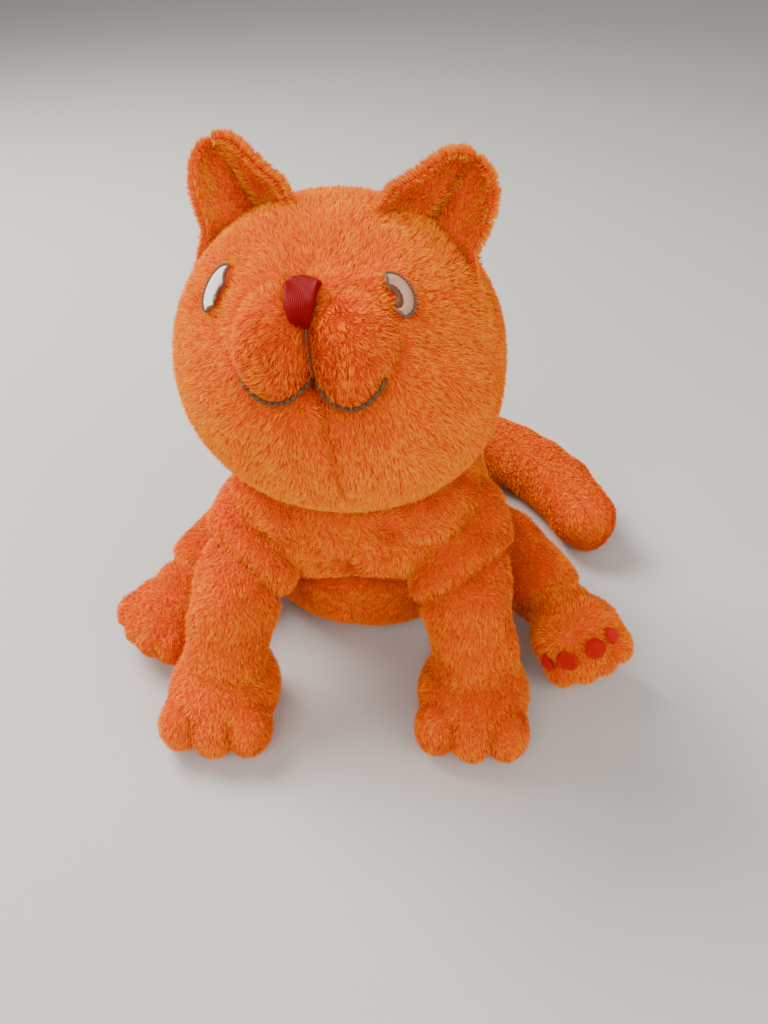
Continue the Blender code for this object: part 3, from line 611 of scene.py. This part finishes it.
def face_stitches(name, lines, radius, made, lift=0.0, arch=0.5, steps=5, follow=False):
    """Stitches between pairs of (across, up) points on the face; with follow they hug its surface."""
    lines = np.array(lines, float)
    share = np.linspace(0, 1, steps)[None, :, None]
    flat = lines[:, :1] * (1 - share) + lines[:, 1:] * share
    points = on_face(flat[..., 0], flat[..., 1], lift)
    starts, ends = points[:, 0], points[:, -1]
    out = unit((starts + ends) / 2 - HEAD_CENTRE)
    return stitches(name, starts, ends, out, radius, made, riding("head"), arch=arch, steps=steps,
                    middle=points if follow else None)


def build_nose():
    """Rows of satin stitches that run from the nose's top edge to its bottom edge."""
    top = np.array(((-0.0053, 0.0195), (-0.0038, 0.0218), (-0.0002, 0.0225), (0.0036, 0.0214),
                    (0.0050, 0.0201)))
    bottom = np.array(((-0.0053, 0.0178), (-0.0035, 0.0149), (-0.0022, 0.0102), (-0.0005, 0.0066),
                       (0.0011, 0.0057), (0.0027, 0.0057), (0.0042, 0.0068), (0.0045, 0.0112),
                       (0.0047, 0.0154), (0.0058, 0.0186)))
    share = np.linspace(0, 1, 30)
    lines = []
    for u in share:
        start = [np.interp(u, np.linspace(0, 1, len(top)), top[:, k]) for k in (0, 1)]
        end = [np.interp(u, np.linspace(0, 1, len(bottom)), bottom[:, k]) for k in (0, 1)]
        lines.append((start, end))
    obj = face_stitches("nose_thread", lines, 0.00050, RED_THREAD, lift=0.0004, arch=0.8,
                        steps=15, follow=True)
    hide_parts("nose_patch")
    seam = face_stitches("nose_seam_stitches", [(SEAM[0], (0.0036, 0.0010)), ((0.0036, 0.0010), SEAM[1])],
                         0.0004, MOUTH_THREAD, lift=0.0006, steps=9, follow=True)
    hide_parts("nose_seam_thread")


def build_mouth():
    for side, line in MOUTH.items():
        where = np.linspace(0, len(line) - 1, 13)
        points = np.stack([np.interp(where, range(len(line)), line[:, k]) for k in (0, 1)], -1)
        step = (points[1:] - points[:-1]) * 0.06
        lines = list(zip(points[:-1] - step, points[1:] + step))
        obj = face_stitches(f"mouth_stitches_{side}", lines, 0.00094, MOUTH_THREAD,
                            lift=0.0010, arch=0.9, steps=7)
        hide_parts(f"mouth_thread_{side}")


def build_eyes():
    for side, eye in EYES.items():
        count, slant = 46, 4
        outer = arc(eye["at"], eye["size"], eye["arc"], count)
        hollow = arc(eye["pupil"], eye["pupil_size"], eye["arc"], count)
        centre = arc(eye["pupil"], [size * 0.4 for size in eye["pupil_size"]], eye["arc"], count)
        lines = [(hollow[k], outer[min(k + slant, count - 1)]) for k in range(count)]
        lines += [(hollow[0] * (1 - u) + outer[0] * u, outer[round(u * slant)]) for u in (0.3, 0.5, 0.7, 0.9)]
        # The cat's left eye takes the darker copy of the white thread: painted shade.
        white = face_stitches(f"eye_white_stitches_{side}", lines, 0.00044,
                              WHITE_THREAD if side == "right" else SHADED_EYE_THREAD, lift=0.0006, arch=0.5,
                              steps=9, follow=True)
        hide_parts(f"eye_white_{side}")
        rim = arc(eye["at"], [size + 0.0006 for size in eye["size"]],
                  (eye["arc"][0], eye["arc"][1]), 22)
        ring = np.concatenate((hollow[:1], rim, hollow[-1:]))
        line = face_stitches(f"eye_outline_stitches_{side}", list(zip(ring, ring[1:])), 0.00068,
                             GREY_THREAD, lift=0.0007, arch=0.4, steps=7, follow=True)
        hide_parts(f"eye_outline_{side}")
        lines = [(centre[k], hollow[min(k + slant, count - 1)]) for k in range(0, count, 2)]
        lines += list(zip(hollow[::5], hollow[5::5]))
        pupil = face_stitches(f"eye_pupil_stitches_{side}", lines, 0.00048, PUPIL_THREAD,
                              lift=0.0006, arch=0.5, steps=7, follow=True)
        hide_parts(f"eye_pupil_{side}")


# ---- torso ----
def torso_at(heights):
    """Middle of the depth, half width and half depth at each height, smoothly between the sections."""
    where = np.interp(heights, TORSO_SECTIONS[:, 0], np.arange(len(TORSO_SECTIONS)))
    values = []
    for column in (1, 2, 3):
        fine, _ = smooth_path(np.stack((TORSO_SECTIONS[:, column],) * 3, -1), [0] * len(TORSO_SECTIONS), 20)
        values.append(np.interp(where, np.linspace(0, len(TORSO_SECTIONS) - 1, len(fine)), fine[:, 0]))
    return values


def build_torso():
    place = riding("torso")
    rows, columns = 170, 260
    heights = np.concatenate((np.linspace(0.126, 0.010, rows - 30), np.linspace(0.0098, 0.0, 30)))
    middle, wide, deep = torso_at(heights)
    turn = math.tau * np.arange(columns) / columns
    ahead = np.clip(-np.sin(turn), 0, 1)[None, :]
    z = np.repeat(heights[:, None], columns, 1)
    x0 = wide[:, None] * np.cos(turn)
    # The chest stands forward between the shoulders and ends in a fold over the belly.
    edge = CHEST_EDGE + 0.003 * np.cos(x0 / 0.016)
    chest = 0.0125 * smooth(edge - 0.004, edge + 0.006, z) * smooth(0.128, 0.104, z)
    fold = -0.0075 * np.exp(-((z - edge + 0.006) / 0.0045) ** 2)
    spots = np.stack((x0, 0 * z, z), -1)
    creases = 0.0026 * wave(spots * np.array((0.6, 1, 1.3)), 0.034, 17) * smooth(0.060, 0.075, z)
    belly = 0.0135 * smooth(edge + 0.002, edge - 0.010, z) * smooth(-0.004, 0.010, z)
    for height, slope in ((0.092, 0.45), (0.104, 0.30)):
        line = (z - height + slope * (np.abs(x0) - 0.030)) / 0.0030
        creases = creases - 0.0030 * np.exp(-line ** 2) * smooth(0.012, 0.026, np.abs(x0))
    seam = -0.0022 * np.exp(-((x0 - 0.001 - 0.05 * (z - 0.06)) / 0.0018) ** 2)
    shoulders = 0.0
    level = smooth(0.058, 0.070, z) * smooth(0.118, 0.098, z)
    for shoulder, _ in FRONT_LEGS.values():
        heading = math.atan2(shoulder[1] - middle.mean(), shoulder[0])
        gap = np.angle(np.exp(1j * (turn - heading)))[None, :]
        shoulders = shoulders + 0.0135 * np.exp(-(gap / 0.42) ** 4) * level
    ahead = ahead ** 1.5
    far = (chest + belly + fold + creases + seam) * ahead + shoulders * (1 - 0.5 * ahead) \
        + 0.0012 * wave(spots, 0.05, 23) - PILE_INSET
    grid = np.stack(((wide[:, None] + far) * np.cos(turn),
                     middle[:, None] + (deep[:, None] + far) * np.sin(turn),
                     np.maximum(z, 0.0003)), -1)
    normals = outward(grid, grid_normals(grid))
    flat = np.stack((np.zeros(columns), np.zeros(columns), np.full(columns, 0.0003)), -1)
    closed = np.concatenate((grid, flat[None] + 0 * grid[-1:]), 0)
    obj = skin("torso_skin", closed, place)
    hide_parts("torso_cover", "torso_stuffing", "pellet_bag")
    points, facing = scatter(grid, normals, STRANDS_PER_MM2, lowest=0.0015)
    front = smooth(0.2, 0.8, -facing[:, 1])
    swirl = wave(points, 0.040, 21) * 1.5
    comb = np.stack((np.sin(swirl) * 0.8, 0.2 * np.cos(swirl), -0.35 - 0.6 * np.cos(swirl)), -1)
    edge = CHEST_EDGE + 0.003 * np.cos(points[:, 0] / 0.016)
    below = front * smooth(edge - 0.002, edge - 0.007, points[:, 2])
    length = 0.0034 - 0.0010 * below
    # Painted shade darkens the belly under the chest and a band just under the chest's fold; painted light
    # brightens the fold's edge.
    dark = np.exp(-((points[:, 2] - edge + 0.008) / 0.006) ** 2) * front
    fold_edge_light = np.exp(-((points[:, 2] - edge - 0.001) / 0.004) ** 2) * front
    shade = 0.62 - 0.10 * below - 0.20 * dark + 0.14 * fold_edge_light
    pile("torso", points, facing, comb, length, shade, place, swirl=0.9)


# ---- limbs ----
def inside_blob(points, centre, lobes, axes, margin):
    local = (points - np.array(centre)) @ axes
    far = np.linalg.norm(local, axis=-1)
    return far < reach(local / np.maximum(far, 1e-9)[..., None], lobes) - margin


def inside_leg(points, path, radii):
    """True for points under a leg's skin, short of its flat end."""
    line, size = smooth_path(path, radii, 16)
    reach_out = size - PILE_INSET - BURIED
    inside = np.zeros(len(points), bool)
    for place, after, radius in zip(line, line[1:], reach_out):
        way = after - place
        share = np.clip(((points - place) @ way) / (way @ way), 0, 1)
        near = ((points - place - share[:, None] * way) ** 2).sum(-1) < radius ** 2
        inside |= near & ((points - line[-1]) @ unit(line[-1] - line[-2]) < 0)
    return inside


def inside_torso(points, margin):
    z = np.clip(points[:, 2], 0, 0.126)
    middle, wide, deep = torso_at(z)
    inside = (points[:, 0] / (wide - margin)) ** 2 + ((points[:, 1] - middle) / (deep - margin)) ** 2 < 1
    return inside & (points[:, 2] < 0.124)


def paw_lobes():
    lobes = [((0, 0, 0), PAW_RADII), ((0, 0.006, 0.010), (0.0212, 0.0215, 0.0190))]
    for across in (-0.0165, 0.0, 0.0165):
        lobes.append(((across, -0.0200 if across else -0.0225, -0.004), (0.0105, 0.0125, 0.0135)))
    return lobes


def paw_relief(local, far):
    """Notches between the toes."""
    place = local * far[..., None]
    ahead = smooth(-0.016, -0.024, place[..., 1]) * smooth(0.012, 0.002, place[..., 2])
    dip = sum(np.exp(-((place[..., 0] - x) / 0.0016) ** 2) for x in (-0.0086, 0.0086))
    return -0.0022 * dip * ahead


def build_front_leg(side):
    shoulder, ankle = (np.array(v) for v in FRONT_LEGS[side])
    knee = (shoulder + ankle) / 2 + np.array((0, -0.010, 0.004))
    path = (shoulder, knee, ankle + np.array((0, 0, -0.005)))
    place = blending()
    centre, lobes, axes = ankle + PAW_DROP, paw_lobes(), np.eye(3)

    def fold(places, turn, out):
        cloth = places[:, None] + out * FRONT_LEG_RADII[1]
        normal, offset = LEG_FOLDS[side]
        above = cloth @ np.array(normal) - offset
        sleeve = 0.0036 * smooth(-0.001, 0.003, above) - 0.0024 * np.exp(-((above + 0.002) / 0.0018) ** 2)
        taper = -0.0030 * smooth(0.078, 0.046, cloth[..., 2])
        soft = 0.0012 * wave(places[:, None] + out * 0.02, 0.030, 31 if side == "left" else 37)
        return soft + sleeve + taper

    leg = tube_grid(path, FRONT_LEG_RADII, end=0.12, shape=fold)
    paw = blob_grid(centre, lobes, axes, unit(np.array((0, 0.35, 1.0))), 6, rows=130, columns=180,
                    power=16.0, shape=paw_relief)
    first = skin(f"front_leg_{side}_skin", leg, place)
    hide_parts(f"front_leg_{side}_cover", f"front_leg_{side}_stuffing")
    second = skin(f"front_paw_{side}_skin", paw, place)
    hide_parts(f"front_paw_{side}_cover", f"front_paw_{side}_stuffing")
    points, facing = scatter(leg, outward(leg, grid_normals(leg)), STRANDS_PER_MM2)
    keep = ~inside_blob(points, centre, lobes, axes, PILE_INSET + BURIED) & ~inside_torso(points, 0.006)
    points, facing = points[keep], facing[keep]
    down = np.broadcast_to(unit(ankle - shoulder) + np.array((0, -0.1, -0.3)), points.shape)
    shade = 0.62 + 0.04 * wave(points, 0.03, 8)
    pile(f"front_leg_{side}", points, facing, down, 0.0032, shade, place)
    points, facing = scatter(paw, outward(paw, grid_normals(paw)), STRANDS_PER_MM2,
                             lowest=BARE_FLOOR)
    keep = ~inside_leg(points, path, np.array(FRONT_LEG_RADII) - 0.0030)
    points, facing = points[keep], facing[keep]
    comb = unit(points - centre) * np.array((0.8, 1, 0.2)) + np.array((0, -0.5, -0.5))
    # Painted shade darkens the paw's pile near the floor, where it stands.
    low = smooth(0.006, 0.0, points[:, 2])
    pile(f"front_paw_{side}", points, facing, comb, 0.0031, 0.66 - 0.15 * low, place)


def foot_axes(side):
    """Axes of a hind foot: across the toes, away from the sole, and to the toes."""
    toes = unit(np.array(HIND_TOES[side]))
    back = -np.array(HIND_SOLE[side])
    back = unit(back - toes * (back @ toes))
    axes = np.stack((np.cross(back, toes), back, toes), 1)
    return axes @ rotation("Y", math.radians(FOOT_TWIST[side]))


def foot_lobes(to_ankle):
    """The foot's round forms, with one that runs into the leg."""
    lobes = [((0, 0, 0), (0.0240, 0.0172, 0.0245)), (tuple(to_ankle * 0.62), (0.0170, 0.0165, 0.0170))]
    for across in (-0.0165, -0.0055, 0.0055, 0.0165):
        lobes.append(((across, -0.001, 0.0165 - abs(across) * 0.28), (0.0072, 0.0125, 0.0095)))
    return lobes


def build_hind_leg(side):
    hip, ankle, foot = (np.array(v) for v in HIND_LEGS[side])
    sign = 1 if side == "left" else -1
    knee = (hip + ankle) / 2 + np.array((0.003 * sign, 0.004, 0.0))
    path = (hip, knee, ankle)
    place = blending()
    axes = foot_axes(side)
    lobes = foot_lobes(axes.T @ (ankle - foot))

    def fold(places, turn, out):
        return 0.0008 * wave(places[:, None] + out * 0.02, 0.026, 41)

    leg = tube_grid(path, HIND_LEG_RADII, end=0.25, shape=fold)
    sole = blob_grid(foot, lobes, axes, axes.T @ (ankle - foot), 4, rows=120, columns=160, power=16.0)
    first = skin(f"hind_leg_{side}_skin", leg, place)
    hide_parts(f"hind_leg_{side}_cover", f"hind_leg_{side}_stuffing")
    second = skin(f"hind_foot_{side}_skin", sole, place)
    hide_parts(f"hind_foot_{side}_cover", f"hind_foot_{side}_stuffing")
    points, facing = scatter(leg, outward(leg, grid_normals(leg)), STRANDS_PER_MM2,
                             lowest=BARE_FLOOR)
    keep = ~inside_blob(points, foot, lobes, axes, PILE_INSET + 0.0028) & ~inside_torso(points, 0.006)
    points, facing = points[keep], facing[keep]
    comb = np.broadcast_to(unit(ankle - hip) + np.array((0, 0, -0.4)), points.shape)
    pile(f"hind_leg_{side}", points, facing, comb, 0.0032, 0.62, place)

    points, facing = scatter(sole, outward(sole, grid_normals(sole)), STRANDS_PER_MM2,
                             lowest=BARE_FLOOR)
    keep = ~inside_leg(points, path, np.array(HIND_LEG_RADII) - 0.0015)
    points, facing = points[keep], facing[keep]
    local = (points - foot) @ axes
    pads = np.zeros(len(points), bool)
    for across, up in PADS:
        scale = -PAD_PLANE / np.minimum(local[:, 1], -1e-4)
        pads |= (local[:, 1] < 0) & (((local[:, 0] * scale - across) / PAD_SIZE[0]) ** 2
                                     + ((local[:, 2] * scale - up) / PAD_SIZE[1]) ** 2 < 1)
    points, facing, local = points[~pads], facing[~pads], local[~pads]
    comb = (unit(local) * np.array((0.5, 0.3, 1.0)) + np.array((0, 0, 0.4))) @ axes.T
    pile(f"hind_foot_{side}", points, facing, comb, 0.0029, 0.66, place)
    for index, pad in enumerate(PADS, 1):
        obj = build_pad(f"toe_pad_stitches_{side}_{index}", foot, axes, lobes, pad, place)
        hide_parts(f"toe_pad_{side}_{index}")


def build_pad(name, foot, axes, lobes, pad, place):
    across, up = pad
    starts, ends = [], []
    for x in np.linspace(-0.92, 0.92, 11):
        tall = math.sqrt(1 - x * x)
        for store, sign in ((starts, -1), (ends, 1)):
            aim = unit(np.array((across + PAD_SIZE[0] * x, -PAD_PLANE, up + PAD_SIZE[1] * tall * sign)))
            far = reach(aim, lobes, 16.0)
            point = foot + axes @ (aim * (far - 0.0004))
            store.append((point[0], point[1], max(point[2], 0.0006)))
    out = unit(np.array(starts) / 2 + np.array(ends) / 2 - foot)
    return stitches(name, starts, ends, out, 0.00046, PAD_THREAD, place, arch=1.0, steps=7)


def build_tail():
    place = blending()

    def fold(places, turn, out):
        bumps = 0.0010 * wave(places[:, None] + out * 0.02, 0.030, 51)
        seam = -0.0014 * np.exp(-((np.angle(np.exp(1j * (turn - math.radians(70))))) / 0.07) ** 2)
        return bumps + seam[None, :]

    grid = tube_grid(TAIL_PATH, TAIL_RADII, end=0.9, columns=110, shape=fold)
    obj = skin("tail_skin", grid, place)
    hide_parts("tail_cover", "tail_stuffing")
    points, facing = scatter(grid, outward(grid, grid_normals(grid)), STRANDS_PER_MM2,
                             lowest=BARE_FLOOR)
    points_keep = ~inside_torso(points, 0.005)
    points, facing = points[points_keep], facing[points_keep]
    line, _ = smooth_path(TAIL_PATH, TAIL_RADII, 12)
    ways = unit(np.gradient(line, axis=0))
    nearest = ((points[:, None] - line[None]) ** 2).sum(-1).argmin(1)
    pile("tail", points, facing, ways[nearest], 0.0030, 0.60, place, lean=(35, 72), swirl=0.25)


# ---- ears ----
def ear_axes(side):
    at, lean, turn = EARS[side]
    axes = HEAD_FRAME @ rotation("Y", math.radians(lean)) @ rotation("Z", math.radians(turn))
    direction = unit(np.array(at))
    base = HEAD_CENTRE + HEAD_FRAME @ (direction * (reach(direction, HEAD_LOBES) + EAR_LIFT))
    return base, axes


def ear_grid(side, depth, rows=60, columns=81, sink=0.024):
    """Grid of one face of an ear, from under its base in the head up to its rounded tip."""
    base, axes = ear_axes(side)
    height, width = EAR_HEIGHT - 0.0030, EAR_HALF_WIDTH - 0.0030
    share = np.linspace(-sink / height, 1.0, rows)[:, None]
    tall = np.clip(share, 0, 1)
    sunk = np.clip(-share, 0, 1)
    across = np.linspace(-1, 1, columns)[None, :]
    outer = smooth(-0.6, 0.6, across if side == "left" else -across)
    flare = 0.98 - 0.54 * tall - 0.08 * np.sin(math.pi * tall) + 0.22 * sunk
    upright = 0.62 + 0.04 * np.sin(math.pi * tall) - 0.14 * tall + 1.0 * sunk
    half = width * (flare + (upright - flare) * outer) * (1.0 - 0.97 * tall ** 6) ** 0.5
    bow = np.radians(EAR_BOW[0] + (EAR_BOW[1] - EAR_BOW[0]) * tall)
    shift = -EAR_TIP_SHIFT if side == "left" else EAR_TIP_SHIFT
    bend = half / np.sin(bow)
    turn = bow * across
    x = (bend + depth) * np.sin(turn) + shift * share - EAR_SET_IN * (1 if side == "left" else -1)
    y = (bend + depth) * np.cos(turn) - bend * np.cos(bow)
    crease = np.exp(-((across + (0.10 if side == "left" else -0.10)) / 0.16) ** 2)
    y = y + 0.0060 * crease * smooth(0.95, 0.5, tall) - 0.0035 * np.abs(across) ** 3 * tall
    local = np.stack((x, y, height * share + 0 * x), -1)
    return base + local @ axes.T


def build_ear(side):
    base, axes = ear_axes(side)
    place = blending()
    lining, back = ear_grid(side, 0.0008), ear_grid(side, 0.0026)
    first = skin(f"ear_lining_{side}_skin", lining, place, LIT_LINING_BACKING, wrap=False)
    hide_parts(f"ear_front_{side}")
    second = skin(f"ear_back_{side}_skin", back, place, wrap=False)
    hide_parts(f"ear_back_{side}")
    hollow = axes @ np.array((0, -1.0, 0))
    for name, grid, facing_way, slot, shades in (
            (f"ear_lining_{side}", lining, hollow, "plush_deep", LIT_LINING),
            (f"ear_back_{side}", back, -hollow, "plush", PLUSH)):
        normals = grid_normals(grid, wrap=False)
        if (normals[:, 40] @ facing_way).mean() < 0:
            normals = -normals
        points, facing = scatter(grid, normals, STRANDS_PER_MM2 * 1.1, wrap=False)
        keep = ~inside_blob(points, HEAD_CENTRE, HEAD_LOBES, HEAD_FRAME, 0.003)
        points, facing = points[keep], facing[keep]
        local = (points - base) @ axes
        shift = (-EAR_TIP_SHIFT if side == "left" else EAR_TIP_SHIFT) * local[:, 2] / EAR_HEIGHT
        across = (local[:, 0] - shift) / EAR_HALF_WIDTH
        comb = np.stack((across * 1.2, 0 * across, 0.7 + 0 * across), -1) @ axes.T
        # The lining's pile is painted shade along its crease and painted light towards its edges.
        if slot == "plush_deep":
            shade = 0.46 + 0.36 * smooth(0.02, 0.22, np.abs(across + (0.10 if side == "left" else -0.10)))
        else:
            shade = 0.60
        pile(name, points, facing, comb, 0.0034, shade, place, shades=shades)
    # Pile along the rim, where the two faces meet.
    start = 14
    rim_a = np.concatenate((lining[start:, 0], lining[-1, :], lining[start:, -1][::-1]))
    rim_b = np.concatenate((back[start:, 0], back[-1, :], back[start:, -1][::-1]))
    spans = np.linalg.norm(np.diff(rim_a, axis=0), axis=1)
    count = int(spans.sum() * 1000 * (34))
    pick = rng.choice(len(spans), count, p=spans / spans.sum())
    s, t = rng.random((count, 1)), rng.random((count, 1))
    points = ((rim_a[pick] * (1 - s) + rim_a[pick + 1] * s) * (1 - t)
              + (rim_b[pick] * (1 - s) + rim_b[pick + 1] * s) * t)
    local = (points - base) @ axes
    out = unit(np.stack((local[:, 0] * 1.2, 0 * t[:, 0], local[:, 2] * 0.9 - 0.006), -1) @ axes.T)
    face_way = np.where(t < 0.5, hollow, -hollow)
    keep = ~inside_blob(points, HEAD_CENTRE, HEAD_LOBES, HEAD_FRAME, 0.003)
    pile(f"ear_rim_{side}", points[keep], unit(out + 0.8 * face_way)[keep], out[keep], 0.0032, 0.66,
         place, lean=(10, 45), swirl=0.2)


# ---- stage ----
CAMERA_PLACE = (0.0436, -0.3574, 0.328)
CAMERA_YAW, CAMERA_PITCH = math.radians(6), math.radians(40)
LAMP_TARGET = (0, -0.03, 0.10)
LAMPS = (  # name, place, size, watts, colour
    ("key", (-0.75, 0.35, 1.05), 0.7, 27, (1.0, 0.97, 0.92)),
    ("fill", (0.85, -0.75, 0.75), 0.9, 7, (1.0, 0.97, 0.93)),
    ("front", (-0.25, -1.1, 0.85), 0.9, 9.5, (1.0, 0.98, 0.95)),
)


def aimed(name, data, place, direction):
    """Puts a lamp or a camera in the scene, facing along the direction."""
    obj = bpy.data.objects.new(name, data)
    obj.location = place
    obj.rotation_euler = direction.to_track_quat("-Z", "Y").to_euler()
    bpy.context.scene.collection.objects.link(obj)
    return obj


def build_stage():
    floor = new_mesh("floor", [(-3, -3, 0), (3, -3, 0), (3, 3, 0), (-3, 3, 0)], np.array([[0, 1, 2, 3]]),
                     [plain("floor", (0.62, 0.60, 0.57), 0.85)])
    world = bpy.data.worlds.new("studio")
    bpy.context.scene.world = world
    world.use_nodes = True
    background = world.node_tree.nodes["Background"]
    background.inputs["Color"].default_value = (1.0, 0.98, 0.95, 1)
    background.inputs["Strength"].default_value = 0.42
    for name, place, size, watts, colour in LAMPS:
        lamp = bpy.data.lights.new(name, "AREA")
        lamp.size = size
        lamp.energy = watts
        lamp.color = colour
        aimed(name, lamp, place, Vector(LAMP_TARGET) - Vector(place))
    camera = bpy.data.cameras.new("camera")
    camera.sensor_fit = "VERTICAL"
    camera.sensor_height = 36
    camera.lens = 28.125
    look = Vector((-math.sin(CAMERA_YAW) * math.cos(CAMERA_PITCH),
                   math.cos(CAMERA_YAW) * math.cos(CAMERA_PITCH), -math.sin(CAMERA_PITCH)))
    bpy.context.scene.camera = aimed("camera", camera, CAMERA_PLACE, look)


build_head()
build_nose()
build_mouth()
build_eyes()
build_torso()
for leg_side in ("left", "right"):
    build_front_leg(leg_side)
    build_hind_leg(leg_side)
    build_ear(leg_side)
build_tail()
build_stage()
